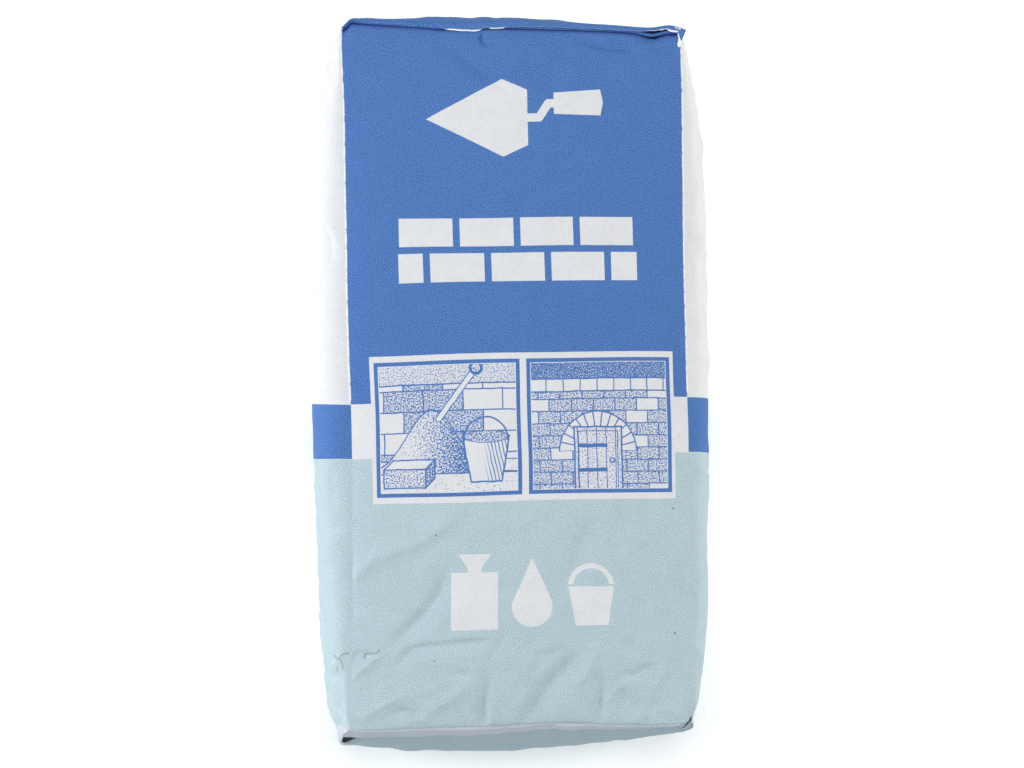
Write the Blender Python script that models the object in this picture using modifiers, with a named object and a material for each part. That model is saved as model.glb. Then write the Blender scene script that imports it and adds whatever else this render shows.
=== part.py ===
"""A small bag of cement: one printed paper sack, full, lying on its back.

The front panel faces up, the sack's length runs along Y with its top end at +Y, and its width
runs along X. The origin is on the floor, under the middle of the sack. Units are metres.
"""

import bmesh
import bpy
from math import pi, sin

# The panels, measured straight across from fold to fold
PANEL_WIDTH = 0.147
PANEL_LENGTH = 0.303
SIDE_HEIGHT = 0.072

# How far the fill pushes each panel out past its folds, at its middle
FRONT_CROWN = 0.0085
SIDE_BULGE = 0.0160
TOP_END_BULGE = 0.0095
BOTTOM_END_BULGE = 0.0125

# The side bulge fades towards an end as a power of (1 - s * s), with s from 0 at mid length to 1 at the end.
# A low power keeps the side full almost to the end, as the settled fill does at the lower left.
LEFT_FADE_TOP = 0.48
LEFT_FADE_BOTTOM = 0.28
RIGHT_FADE_TOP = 0.50
RIGHT_FADE_BOTTOM = 0.45
CROWN_FADE_ACROSS = 0.75
CROWN_FADE_ALONG = 0.50
END_FADE_ACROSS = 0.55

# The back lies flat on the floor, and its folds rise a little from it
BACK_LIFT = 0.0035
BACK_ROLL = 0.013

# The folded plies that close each end stand proud of the paper beside them.
# A height on an end is a share: -1 at the back fold and 1 at the front fold.
# The top end's flap comes over from the back, and its free edge lies just short of the front fold.
# The bottom end has a narrow strip instead, which comes over from the front.
PLIES = 0.0011
RIM_SHARE = 0.02
TOP_FLAP = (-1.0, 0.95)
BOTTOM_STRIP = (0.90, 1.0)

# Cells of the cage between the folds, before one level of subdivision
CELLS_ACROSS = 10
CELLS_ALONG = 18
CELLS_UP = 6

PAPER_BLUE = (0.075, 0.202, 0.515, 1.0)
PAPER_ROUGHNESS = 0.62


def clear_scene():
    for found in list(bpy.data.objects):
        bpy.data.objects.remove(found, do_unlink=True)


def paper_material():
    material = bpy.data.materials.new("printed_paper")
    material.use_nodes = True
    shader = material.node_tree.nodes["Principled BSDF"]
    shader.inputs["Base Color"].default_value = PAPER_BLUE
    shader.inputs["Roughness"].default_value = PAPER_ROUGHNESS
    shader.inputs["Metallic"].default_value = 0.0
    return material


def smooth_step(value):
    held = min(max(value, 0.0), 1.0)
    return held * held * (3.0 - 2.0 * held)


def hump(share, power=1.0):
    """1 in the middle of a panel and 0 at its folds, where share is -1 or 1."""
    return max(1.0 - share * share, 0.0) ** power


def side_bulge(across, along):
    left = across < 0.0
    at_top = along > 0.0
    if left:
        fade = LEFT_FADE_TOP if at_top else LEFT_FADE_BOTTOM
    else:
        fade = RIGHT_FADE_TOP if at_top else RIGHT_FADE_BOTTOM
    return SIDE_BULGE * hump(along, fade)


def end_bulge(across, along):
    bulge = TOP_END_BULGE if along > 0.0 else BOTTOM_END_BULGE
    return bulge * hump(across, END_FADE_ACROSS)


def back_height(across, along):
    """Height of the back panel over the floor: 0 where it rests, BACK_LIFT at its folds."""
    from_side = (1.0 - abs(across)) * PANEL_WIDTH / 2.0
    from_end = (1.0 - abs(along)) * PANEL_LENGTH / 2.0
    rise_side = 1.0 - smooth_step(from_side / BACK_ROLL)
    rise_end = 1.0 - smooth_step(from_end / BACK_ROLL)
    return BACK_LIFT * max(rise_side, rise_end)


def filled(across, along, up):
    """Where a point of the empty box, given as shares from -1 to 1, lies on the filled sack."""
    shift = (BOTTOM_END_BULGE - TOP_END_BULGE - PLIES) / 2.0
    half_width = PANEL_WIDTH / 2.0 + side_bulge(across, along) * hump(up)
    half_length = PANEL_LENGTH / 2.0 + end_bulge(across, along) * hump(up)
    fold_height = BACK_LIFT + SIDE_HEIGHT * (up + 1.0) / 2.0
    if up >= 1.0:
        crown = FRONT_CROWN * hump(across, CROWN_FADE_ACROSS) * hump(along, CROWN_FADE_ALONG)
        height = fold_height + crown
    elif up <= -1.0:
        height = back_height(across, along)
    else:
        height = fold_height
    return across * half_width, along * half_length + shift, height


def divide(mesh, axis, cells):
    """Cuts every edge that runs along the axis into equal cells."""
    running = []
    for edge in mesh.edges:
        span = edge.verts[1].co - edge.verts[0].co
        if abs(span[axis]) > 0.5 * span.length:
            running.append(edge)
    bmesh.ops.subdivide_edges(mesh, edges=running, cuts=cells - 1, use_grid_fill=True)


def crowd_to_ends(share):
    """Packs the cage's rows closer towards the folds, where the shape turns."""
    return sin(share * pi / 2.0)


def box_cage():
    """A cube from -1 to 1, cut into cells that are closest together near its edges."""
    mesh = bmesh.new()
    bmesh.ops.create_cube(mesh, size=2.0)
    divide(mesh, 0, CELLS_ACROSS)
    divide(mesh, 1, CELLS_ALONG)
    divide(mesh, 2, CELLS_UP)
    for point in mesh.verts:
        for axis in range(3):
            point.co[axis] = crowd_to_ends(point.co[axis])
    return mesh


def on_fold(edge):
    """Whether an edge of the cage lies on one of the box's twelve edges."""
    shared = 0
    for axis in range(3):
        first, second = edge.verts[0].co[axis], edge.verts[1].co[axis]
        if abs(first) > 0.999 and abs(first - second) < 0.001:
            shared += 1
    return shared >= 2


def cut_flap(mesh, end, span, crease):
    """Gives the part of an end that lies within the span a rim of its own, and returns its points."""
    flap = []
    for face in mesh.faces:
        middle = face.calc_center_median()
        if middle.y * end > 0.999 and span[0] < middle.z < span[1]:
            flap.append(face)
    bmesh.ops.inset_region(mesh, faces=flap, thickness=RIM_SHARE, use_even_offset=False)
    for face in flap:
        for edge in face.edges:
            if any(other not in flap for other in edge.link_faces):
                edge[crease] = 1.0
    return {point for face in flap for point in face.verts}


def build_sack():
    mesh = box_cage()
    crease = mesh.edges.layers.float.new("crease_edge")
    for edge in mesh.edges:
        if on_fold(edge):
            edge[crease] = 1.0
    top_flap = cut_flap(mesh, 1.0, TOP_FLAP, crease)
    bottom_strip = cut_flap(mesh, -1.0, BOTTOM_STRIP, crease)
    for point in mesh.verts:
        point.co = filled(*point.co)
    for point in top_flap:
        point.co.y += PLIES
    for point in bottom_strip:
        point.co.y -= PLIES
    bmesh.ops.recalc_face_normals(mesh, faces=mesh.faces)
    data = bpy.data.meshes.new("cement_sack")
    mesh.to_mesh(data)
    mesh.free()
    sack = bpy.data.objects.new("cement_sack", data)
    data.materials.append(paper_material())
    smoothing = sack.modifiers.new("paper", "SUBSURF")
    smoothing.levels = 1
    smoothing.render_levels = 1
    data.shade_smooth()
    return sack


def main():
    clear_scene()
    group = bpy.data.collections.new("cement_bag")
    bpy.context.scene.collection.children.link(group)
    group.objects.link(build_sack())


main()
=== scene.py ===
"""The looks of a small bag of cement: a printed paper sack, full, lying on its back.

The front panel faces up and the sack's top end points to +Y. Shapes are worked out in
millimetres and turned into metres when a mesh is made. A place on the paper is given by its
paper coordinates, also in millimetres: across and along the flat sheet that the sack was folded
from, counted from the middle of the front panel.
"""

import math

import bpy
import numpy as np
from mathutils import Matrix, Vector
from mathutils.bvhtree import BVHTree


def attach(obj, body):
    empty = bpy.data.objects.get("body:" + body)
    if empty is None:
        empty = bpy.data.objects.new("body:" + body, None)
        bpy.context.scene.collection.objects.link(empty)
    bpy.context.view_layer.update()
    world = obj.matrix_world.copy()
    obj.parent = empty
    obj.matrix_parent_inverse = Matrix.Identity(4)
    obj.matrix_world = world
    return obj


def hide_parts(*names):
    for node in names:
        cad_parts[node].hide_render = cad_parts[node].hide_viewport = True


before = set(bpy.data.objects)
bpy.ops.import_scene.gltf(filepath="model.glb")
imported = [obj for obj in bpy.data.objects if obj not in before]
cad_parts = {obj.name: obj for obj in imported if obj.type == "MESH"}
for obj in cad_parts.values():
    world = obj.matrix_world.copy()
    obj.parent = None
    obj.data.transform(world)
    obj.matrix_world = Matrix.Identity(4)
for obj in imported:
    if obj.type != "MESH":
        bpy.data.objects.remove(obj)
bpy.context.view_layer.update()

MM = 0.001
SEED = 11

# Half sizes of the front and back panels from fold to fold, and the height between them
HALF_WIDTH = 73.5
HALF_LENGTH = 151.5
SIDE_HEIGHT = 72.0
BACK_LIFT = 3.5
BACK_ROLL = 13.0
FRONT_CROWN = 8.0
ALONG_SHIFT = 0.95

# The paper of a side or an end is longer than the side is high, because it bulges
SIDE_PAPER = 84.0
END_PAPER = 78.0

# Where the front's side folds stray outwards from HALF_WIDTH: place along the sack, left and right
LEFT_FOLD = ((-151.5, 3.2), (-146, 2.7), (-133, 1.7), (-118, 0.8), (-95, 0.0), (90, 0.0), (130, 0.8), (151.5, 1.2))
RIGHT_FOLD = ((-151.5, 0.0), (95, 0.0), (130, 0.7), (151.5, 0.8))

# How far the sides stand out past the folds at mid height: place along the sack, left and right
LEFT_OUTLINE = (
    (-151.5, 3.4), (-146, 5.4), (-133, 9.6), (-118, 12.0), (-103, 13.4), (-60, 15.9), (0, 16.9),
    (30, 15.6), (60, 14.7), (87, 13.9), (110, 12.8), (128, 9.1), (144, 4.6), (151.5, 0.5),
)
RIGHT_OUTLINE = (
    (-151.5, 0.0), (-146, 1.2), (-133, 5.0), (-103, 8.8), (-60, 9.9), (0, 11.9),
    (60, 11.9), (87, 11.5), (110, 9.6), (128, 7.2), (144, 2.8), (151.5, 0.0),
)

# The same for the two ends: place across the sack, top and bottom
TOP_OUTLINE = (
    (-73.5, 0.0), (-60, 3.6), (-48, 5.0), (-40, 5.6), (-25, 7.4), (-12, 6.7), (10, 6.1), (35, 3.5), (55, 1.0),
    (73.5, 0.8),
)
BOTTOM_OUTLINE = (
    (-73.5, 7.6), (-60, 8.5), (-40, 10.3), (-15, 11.7), (10, 11.0), (35, 8.9), (55, 6.1), (73.5, 4.0),
)

# The front's end folds aren't square to the print: their places past HALF_LENGTH, from left to right
TOP_FOLD = (
    (-73.5, 2.6), (-69, 5.9), (-60, 5.1), (-41, 3.8), (-30, 2.9), (-17, 2.3), (-9, 3.1), (24, 2.0), (44, 0.9), (58, -0.4),
    (73.5, -0.5),
)
BOTTOM_FOLD = (
    (-73.5, 0.2), (-47, -0.2), (-28, -0.6), (-10, -0.8), (5, -1.3), (23, -0.9), (41, 0.0), (54, 0.5), (73.5, 0.9),
)

# The fill rounds the front's side folds off a little: how far they sink, and how wide the rounding is
FOLD_SINK = 0.8
FOLD_ROUNDING = 10.0

# How square a side is between its front fold and its widest place
SIDE_SQUARENESS = 3.5

# The side bulge that the rows of the mesh and the print are spaced out for
MEAN_BULGE = 13.0

# The corners between the sides and the ends are rounded: how far they are drawn in, and how wide
CORNER_DRAW = 0.6
CORNER_ROUNDING = 5.0

# Cells of the paper's mesh between the folds, and how much closer they lie at the folds
CELLS_ACROSS = 112
CELLS_ALONG = 232
CELLS_UP = 58
CROWDING = 0.5


def hump(share, power=1.0):
    """1 in the middle of a panel and 0 at its folds, where share is -1 or 1."""
    return np.clip(1.0 - share * share, 0.0, 1.0) ** power


def ease(value):
    held = np.clip(value, 0.0, 1.0)
    return held * held * (3.0 - 2.0 * held)


def smooth_curve(at, knots, values):
    """A smooth curve through the values that are given at the knots."""
    knots, values = np.asarray(knots, float), np.asarray(values, float)
    slopes = np.gradient(values, knots)
    cell = np.clip(np.searchsorted(knots, at) - 1, 0, len(knots) - 2)
    span = knots[cell + 1] - knots[cell]
    t = np.clip((at - knots[cell]) / span, 0.0, 1.0)
    rise = ease(t)
    bend_in = t * (1.0 - t) ** 2 * span * slopes[cell]
    bend_out = t * t * (t - 1.0) * span * slopes[cell + 1]
    return values[cell] * (1.0 - rise) + values[cell + 1] * rise + bend_in + bend_out


def read_outline(share, half, outline):
    """An outline's value at shares of its panel. It may rise steeply at the panel's ends."""
    knots, values = np.array(outline, float).T
    turn = np.arcsin(np.clip(share, -1.0, 1.0))
    return smooth_curve(turn, np.arcsin(np.clip(knots / half, -1.0, 1.0)), values)


def waves(points, size, seed, count=24):
    """A smooth random field between about -1 and 1, whose lumps are about as wide as size."""
    chance = np.random.default_rng(seed)
    turns = chance.normal(size=(count, points.shape[1]))
    turns *= 2.6 / (size * np.linalg.norm(turns, axis=1, keepdims=True))
    turns *= chance.uniform(0.6, 1.5, size=(count, 1))
    phases = chance.uniform(0.0, 2.0 * math.pi, size=count)
    return np.cos(points @ turns.T + phases).sum(axis=1) / math.sqrt(count)


def crease(across, along, route, height, widths):
    """A fold in the paper along a route of points: sharp at its crest, and fading out sideways.

    widths are its reach to the left and to the right of the route, and it fades at both its ends.
    """
    result = np.zeros_like(across)
    reach = max(widths)
    points = np.array(route, float)
    near = (
        (across > points[:, 0].min() - reach)
        & (across < points[:, 0].max() + reach)
        & (along > points[:, 1].min() - reach)
        & (along < points[:, 1].max() + reach)
    )
    if not near.any():
        return result
    x, y = across[near], along[near]
    steps = np.diff(points, axis=0)
    lengths = np.linalg.norm(steps, axis=1)
    walked = np.concatenate(([0.0], np.cumsum(lengths)))
    best = np.full(x.shape, np.inf)
    side = np.zeros_like(x)
    place = np.zeros_like(x)
    for start, step, length, before in zip(points[:-1], steps, lengths, walked):
        dx, dy = x - start[0], y - start[1]
        share = np.clip((dx * step[0] + dy * step[1]) / length**2, 0.0, 1.0)
        off = np.hypot(dx - share * step[0], dy - share * step[1])
        closer = off < best
        best = np.where(closer, off, best)
        side = np.where(closer, step[0] * dy - step[1] * dx, side)
        place = np.where(closer, (before + share * length) / walked[-1], place)
    width = np.where(side > 0.0, widths[0], widths[1])
    slope = np.clip(1.0 - best / width, 0.0, 1.0) ** 2
    fade = ease(place / 0.3) * ease((1.0 - place) / 0.3)
    result[near] = height * slope * fade
    return result


def side_bulge(across, along):
    left = read_outline(along, HALF_LENGTH, LEFT_OUTLINE)
    right = read_outline(along, HALF_LENGTH, RIGHT_OUTLINE)
    return np.where(across < 0.0, left, right)


def end_bulge(across, along):
    top = read_outline(across, HALF_WIDTH, TOP_OUTLINE)
    bottom = read_outline(across, HALF_WIDTH, BOTTOM_OUTLINE)
    return np.where(along > 0.0, top, bottom)


def back_height(across, along):
    from_side = (1.0 - np.abs(across)) * HALF_WIDTH
    from_end = (1.0 - np.abs(along)) * HALF_LENGTH
    rise = np.maximum(1.0 - ease(from_side / BACK_ROLL), 1.0 - ease(from_end / BACK_ROLL))
    return BACK_LIFT * rise


def fold_rise(across, along, up):
    """How far the paper is moved along the sack, because the front's end folds aren't square."""
    top = np.interp(across * HALF_WIDTH, *np.array(TOP_FOLD, float).T)
    bottom = np.interp(across * HALF_WIDTH, *np.array(BOTTOM_FOLD, float).T)
    rise = top * ease((along - 0.55) / 0.45) - bottom * ease((-along - 0.55) / 0.45)
    return rise * ease((up + 0.6) / 1.6)


def side_profile(up):
    """How far a side stands out at a height, as a share of its bulge. It is squarer near the front."""
    above = np.sqrt(1.0 - np.clip(up, 0.0, 1.0) ** SIDE_SQUARENESS)
    return np.where(up > 0.0, above, hump(up))


def side_arc():
    """Heights of a side from its front fold to its back fold, and how much of the paper lies above each."""
    ups = np.cos(np.linspace(0.0, math.pi, 400))
    out = MEAN_BULGE * side_profile(ups)
    steps = np.hypot(np.diff(out), np.diff(ups) * SIDE_HEIGHT / 2.0)
    arc = np.concatenate(([0.0], np.cumsum(steps)))
    return ups, arc / arc[-1]


def down_share(up):
    """How much of a side's paper lies between its front fold and a height."""
    ups, above = side_arc()
    return np.interp(-up, -ups, above)


def fold_stray(across, along, up):
    """How far a side panel stands further out because its front fold isn't straight."""
    left = np.interp(along * HALF_LENGTH, *np.array(LEFT_FOLD, float).T)
    right = np.interp(along * HALF_LENGTH, *np.array(RIGHT_FOLD, float).T)
    return np.where(across < 0.0, left, right) * ease(up + 1.0)


def fold_sink(across, along, up):
    """How far the paper sinks beside the front's side folds, where the fill rounds them off."""
    on_front = (1.0 - np.abs(across)) * HALF_WIDTH
    on_side = (1.0 - up) / 2.0 * SIDE_HEIGHT
    away = np.where(up > 0.9999, on_front, np.where(np.abs(across) > 0.9999, on_side, FOLD_ROUNDING))
    return FOLD_SINK * hump(along, 0.3) * np.clip(1.0 - away / FOLD_ROUNDING, 0.0, 1.0) ** 2


def filled(across, along, up):
    """Where points of the empty box, given as shares from -1 to 1, lie on the full sack."""
    half_width = HALF_WIDTH + fold_stray(across, along, up) + side_bulge(across, along) * side_profile(up)
    half_length = HALF_LENGTH + end_bulge(across, along) * hump(up)
    length = along * half_length + fold_rise(across, along, up)
    height = BACK_LIFT + SIDE_HEIGHT * (up + 1.0) / 2.0
    crown = FRONT_CROWN * hump(across, 0.9) * hump(along, 0.5)
    height = np.where(up > 0.9999, height + crown, height)
    height = np.where(up < -0.9999, back_height(across, along), height - fold_sink(across, along, up))
    return np.stack((across * half_width, length + ALONG_SHIFT, height), axis=-1)


def shares(cells):
    """Places from -1 to 1 along a panel, closer together at its folds."""
    even = np.linspace(-1.0, 1.0, cells + 1)
    return (1.0 - CROWDING) * even + CROWDING * np.sin(even * math.pi / 2.0)


def heights(cells):
    """Places from -1 to 1 up a side, evenly spaced along its curved paper."""
    ups, above = side_arc()
    return np.interp((1.0 + shares(cells)) / 2.0, above, ups)[::-1]


ACROSS, ALONG, UP = shares(CELLS_ACROSS), shares(CELLS_ALONG), heights(CELLS_UP)

# Each panel of the sack: its fixed axis (0 across, 1 along, 2 up) and the side it is on
PANELS = {
    "front": (2, 1),
    "back": (2, -1),
    "right": (0, 1),
    "left": (0, -1),
    "top": (1, 1),
    "bottom": (1, -1),
}


def lattice():
    """The box's surface as a grid: each panel's corners as whole-number places, facing outwards."""
    counts = (CELLS_ACROSS, CELLS_ALONG, CELLS_UP)
    quads = {}
    for name, (axis, sign) in PANELS.items():
        first, second = (axis + 1) % 3, (axis + 2) % 3
        i, j = np.meshgrid(np.arange(counts[first]), np.arange(counts[second]), indexing="ij")
        corners = []
        for di, dj in ((0, 0), (1, 0), (1, 1), (0, 1)):
            place = np.zeros((i.size, 3), int)
            place[:, axis] = counts[axis] if sign > 0 else 0
            place[:, first] = (i + di).ravel()
            place[:, second] = (j + dj).ravel()
            corners.append(place)
        if sign < 0:
            corners.reverse()
        quads[name] = np.stack(corners, axis=1)
    return quads


# The left side's print lies higher than the front's in the middle of the side
LEFT_DRIFT = 2.0


def paper_place(panel, across, along, up):
    """Paper coordinates of box shares on one panel."""
    x = across * HALF_WIDTH
    y = along * HALF_LENGTH + fold_rise(across, along, up)
    down = (1.0 - up) / 2.0
    if panel == "front":
        return x, y
    if panel == "back":
        return 2.0 * HALF_WIDTH + SIDE_PAPER - x, y
    if panel == "right":
        return HALF_WIDTH + down_share(up) * SIDE_PAPER, y
    if panel == "left":
        side_down = down_share(up)
        return -HALF_WIDTH - side_down * SIDE_PAPER, y - LEFT_DRIFT * np.sin(side_down * math.pi)
    edge = fold_rise(across, along, np.ones_like(up))
    if panel == "top":
        return x, HALF_LENGTH + edge + down * END_PAPER
    return x, -HALF_LENGTH + edge - down * END_PAPER


def build_mesh(name, points, faces, uvs):
    """A mesh in metres from points in millimetres, with named UV maps given for each face corner."""
    mesh = bpy.data.meshes.new(name)
    mesh.vertices.add(len(points))
    mesh.vertices.foreach_set("co", (points * MM).astype(np.float32).ravel())
    mesh.loops.add(faces.size)
    mesh.loops.foreach_set("vertex_index", faces.astype(np.int32).ravel())
    mesh.polygons.add(len(faces))
    mesh.polygons.foreach_set("loop_start", np.arange(0, faces.size, faces.shape[1], dtype=np.int32))
    mesh.update(calc_edges=True)
    for layer, values in uvs.items():
        mesh.uv_layers.new(name=layer)
        mesh.uv_layers[layer].data.foreach_set("uv", values.astype(np.float32).ravel())
    mesh.validate()
    mesh.shade_smooth()
    return mesh


def add_piece(name, mesh, materials):
    piece = bpy.data.objects.new(name, mesh)
    for material in materials:
        mesh.materials.append(material)
    bpy.context.scene.collection.objects.link(piece)
    return piece


def sack_piece(name, mesh, materials):
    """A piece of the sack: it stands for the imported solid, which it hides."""
    piece = add_piece(name, mesh, materials)
    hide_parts("cement_sack")
    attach(piece, "root")
    return piece


def normals_of(points, faces):
    """Unit normals of the points of a mesh of four-cornered faces."""
    corner = points[faces]
    flat = np.cross(corner[:, 2] - corner[:, 0], corner[:, 3] - corner[:, 1])
    total = np.zeros_like(points)
    for k in range(4):
        np.add.at(total, faces[:, k], flat)
    return total / np.linalg.norm(total, axis=1, keepdims=True)


# Creases of the front panel, each as its route, its height and its reach to each side
FRONT_CREASES = (
    # Long diagonal from the left fold up towards the pictures
    (((-80, -94), (-72, -84), (-62, -76), (-45, -71), (-34, -63), (-20, -54)), 1.3, (12, 7)),
    (((-86, -95), (-81, -90), (-77, -84)), -0.8, (2.5, 2.5)),
    # Valley that rises from the lower left to the middle
    (((-60, -118), (-50, -108), (-43, -101), (-37, -93), (-31, -78)), -1.5, (5, 9)),
    # Nearly level valley below the middle of the aqua field, and its tail
    (((-58, -128), (-54, -123), (-49, -117), (-44, -115.5), (-38, -115.5), (-28, -114.5), (-10, -114)), -1.2, (3, 7)),
    (((-32, -102), (-32, -112)), -0.4, (2.5, 2.5)),
    (((-16, -128), (-14, -121), (-9, -113), (-6, -106)), -0.5, (3, 4)),
    # Steep fold down to the bottom edge
    (((-15, -125), (-16, -138), (-18, -156)), -1.3, (4, 6)),
    (((-13, -126), (-13.5, -140), (-13.5, -156)), 0.4, (2.5, 2)),
    # Deep slanting folds right of the middle
    (((27, -116), (20, -123), (14, -130), (8, -136), (4, -142), (-3, -154)), -1.9, (13, 7)),
    (((6, -123), (4, -131), (7, -137)), -0.6, (4, 4)),
    (((33, -116), (29, -123), (26, -130), (21, -136)), 0.8, (4, 6)),
    (((30, -125), (32, -132), (33, -138), (31, -154)), -1.2, (5, 5)),
    (((38, -131), (48, -130), (58, -124)), -0.9, (4, 6)),
    (((47, -131), (40, -136), (34, -143)), 0.6, (5, 4)),
    (((60, -140), (54, -146), (52, -154)), -0.5, (4, 5)),
    # Low folds near the left bottom corner
    (((-72, -148), (-63, -143), (-54, -138), (-46, -136)), 0.9, (5, 7)),
    (((-56, -144), (-48, -143), (-42, -146)), -0.6, (4, 4)),
    (((-45, -152), (-39, -143), (-30, -138), (-22, -130)), 0.9, (6, 7)),
    # Bruise on the lower left fold
    (((-79, -120), (-77, -118), (-73, -118), (-64, -119)), -1.0, (2.5, 5)),
    (((-78, -118), (-77, -122), (-75, -126), (-75, -131)), -0.8, (3, 3)),
    (((-68, -121), (-67, -118), (-62, -117)), -0.5, (2.5, 3)),
    (((-58, -116), (-65, -122), (-75, -130)), 0.8, (4, 4)),
    # Folds in the right bottom corner
    (((64, -135), (72, -146)), 0.6, (4, 4)),
    (((60, -144), (69, -150)), 0.5, (4, 3)),
    # Soft diagonal band right of the middle
    (((34, -56), (23, -78), (12, -98)), -0.9, (16, 12)),
    # Diagonal near the top, left of the middle
    (((-30, 146), (-18, 137), (-9, 130), (0, 121)), -1.2, (8, 6)),
    # Dimple at the top edge
    (((-12.6, 152), (-13.6, 148), (-11.4, 145), (-9, 147)), -1.3, (2.5, 2.5)),
    (((4, 142), (9, 132), (14, 126)), -0.7, (5, 5)),
    # Arc under the flap on the right
    (((26, 150), (31, 146), (40, 143.5), (56, 142)), -1.7, (6, 3.5)),
    (((56, 149), (64, 142), (74, 141)), -1.0, (4, 5)),
    (((48, 147), (58, 145), (66, 147)), 0.6, (4, 4)),
    (((22, 144), (24, 137)), -0.5, (4, 4)),
    (((35, 116), (50, 115)), -0.4, (4, 5)),
    (((64, 100), (71, 109)), 0.5, (5, 4)),
    (((-76, 145), (-58, 138)), -0.5, (5, 6)),
    # Short crease from the left fold to the pictures
    (((-75, -1), (-69, -1), (-60, -1)), -0.7, (2, 3)),
)


def random_creases(across, along, box, count, lengths, height, seed):
    """Many small folds at random places and angles inside a box of paper coordinates."""
    chance = np.random.default_rng(seed)
    total = np.zeros_like(across)
    for _ in range(count):
        x = chance.uniform(box[0], box[1])
        y = chance.uniform(box[2], box[3])
        length = chance.uniform(*lengths)
        angle = chance.uniform(0.0, math.pi)
        bend = angle + chance.normal(0.0, 0.35)
        start = (x - math.cos(angle) * length / 2.0, y - math.sin(angle) * length / 2.0)
        end = (x + math.cos(bend) * length / 2.0, y + math.sin(bend) * length / 2.0)
        tall = height * chance.uniform(0.4, 1.0) * chance.choice((-1.0, 1.0))
        widths = chance.uniform(2.5, 9.0, size=2)
        total += crease(across, along, (start, (x, y), end), tall, tuple(widths))
    return total


# The front dips under the closing flap, in a shallow hollow and a narrow groove at the flap's edge:
# how deep each is, and how far it reaches from the fold
HOLLOW = (1.1, 7.0)
GROOVE = (2.0, 3.4)


# How much stronger the front's listed creases are than their heights say
FRONT_STRENGTH = 1.2


def front_relief(x, y, edge):
    total = random_creases(x, y, (-70, 70, -150, 150), 70, (14, 50), 0.26, SEED)
    total += random_creases(x, y, (-70, 70, -150, -60), 48, (10, 32), 0.52, SEED + 1)
    total += random_creases(x, y, (-70, 70, 110, 150), 20, (10, 30), 0.40, SEED + 2)
    for route, height, widths in FRONT_CREASES:
        total += crease(x, y, route, height * FRONT_STRENGTH, widths)
    for depth, reach in (HOLLOW, GROOVE):
        total -= depth * (1.0 - ease((HALF_LENGTH + edge - y) / reach))
    return total


def side_relief(down, along, seed):
    """Relief of a side panel, by the distance down from its front fold and the place along it."""
    total = random_creases(down, along, (4, 74, -148, 148), 70, (12, 50), 0.95, seed)
    for end in (-1.0, 1.0):
        corner = end * HALF_LENGTH
        apex = end * (HALF_LENGTH - SIDE_PAPER / 2.0)
        middle = SIDE_PAPER / 2.0
        total += crease(down, along, ((0, corner), (middle, apex)), -1.1, (8, 8))
        total += crease(down, along, ((SIDE_PAPER, corner), (middle, apex)), -1.1, (8, 8))
        near_end = (6, 72, min(corner, corner - 35 * end), max(corner, corner - 35 * end))
        total += random_creases(down, along, near_end, 24, (10, 32), 1.1, seed + 5)
    total += crease(down, along, ((SIDE_PAPER / 2.0, -150), (SIDE_PAPER / 2.0, 150)), -1.2, (9, 9))
    return total


def end_relief(across, down, seed):
    total = random_creases(across, down, (-68, 68, 4, 74), 50, (12, 44), 0.7, seed)
    for side in (-1.0, 1.0):
        total += crease(across, down, ((side * 73.5, 0), (side * 36, 38)), 0.9, (8, 8))
        total += crease(across, down, ((side * 73.5, 78), (side * 36, 40)), 0.9, (8, 8))
    return total


def fold_fade(*distances):
    """0 at a panel's folds and 1 a little way in, from the distances to its folds."""
    return ease(np.minimum(*distances) / 1.8)


def sack_relief(across, along, up):
    """Height of the paper's folds and dents over the smooth sack, in millimetres."""
    x = across * HALF_WIDTH
    y = along * HALF_LENGTH + fold_rise(across, along, up)
    side_down = down_share(up) * SIDE_PAPER
    end_down = (1.0 - up) / 2.0 * END_PAPER
    from_side = (1.0 - np.abs(across)) * HALF_WIDTH
    from_end = (1.0 - np.abs(along)) * HALF_LENGTH
    from_front = (1.0 - np.abs(up)) * SIDE_HEIGHT / 2.0
    total = np.zeros_like(across)
    front = up > 0.9999
    back = up < -0.9999
    end = (np.abs(along) > 0.9999) & ~front & ~back
    side = (np.abs(across) > 0.9999) & ~front & ~back & ~end
    edge = fold_rise(across[front], np.ones(front.sum()), np.ones(front.sum()))
    fade = fold_fade(from_side[front], from_end[front] * 1.6)
    total[front] = front_relief(x[front], y[front], edge) * fade
    for sign, seed in ((-1.0, SEED + 20), (1.0, SEED + 30)):
        chosen = side & (across * sign > 0.0)
        relief = side_relief(side_down[chosen], y[chosen], seed)
        total[chosen] = relief * fold_fade(from_front[chosen], from_end[chosen])
        chosen = end & (along * sign > 0.0)
        relief = end_relief(x[chosen], end_down[chosen], seed + 3)
        total[chosen] = relief * fold_fade(from_side[chosen], from_front[chosen])
    return total


# Corners of the sack that are pushed in, as shares of the box, with how far and how wide
BLUNT_CORNERS = (
    ((-1, -1, 1), 1.6, 5.0),
    ((1, -1, 1), 2.4, 5.0),
    ((-1, 1, 1), 0.8, 4.0),
    ((1, 1, 1), 0.8, 4.0),
    ((-1, -1, -1), 4.0, 10.0),
    ((1, -1, -1), 4.0, 10.0),
    ((-1, 1, -1), 4.0, 10.0),
    ((1, 1, -1), 4.0, 10.0),
)


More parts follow.
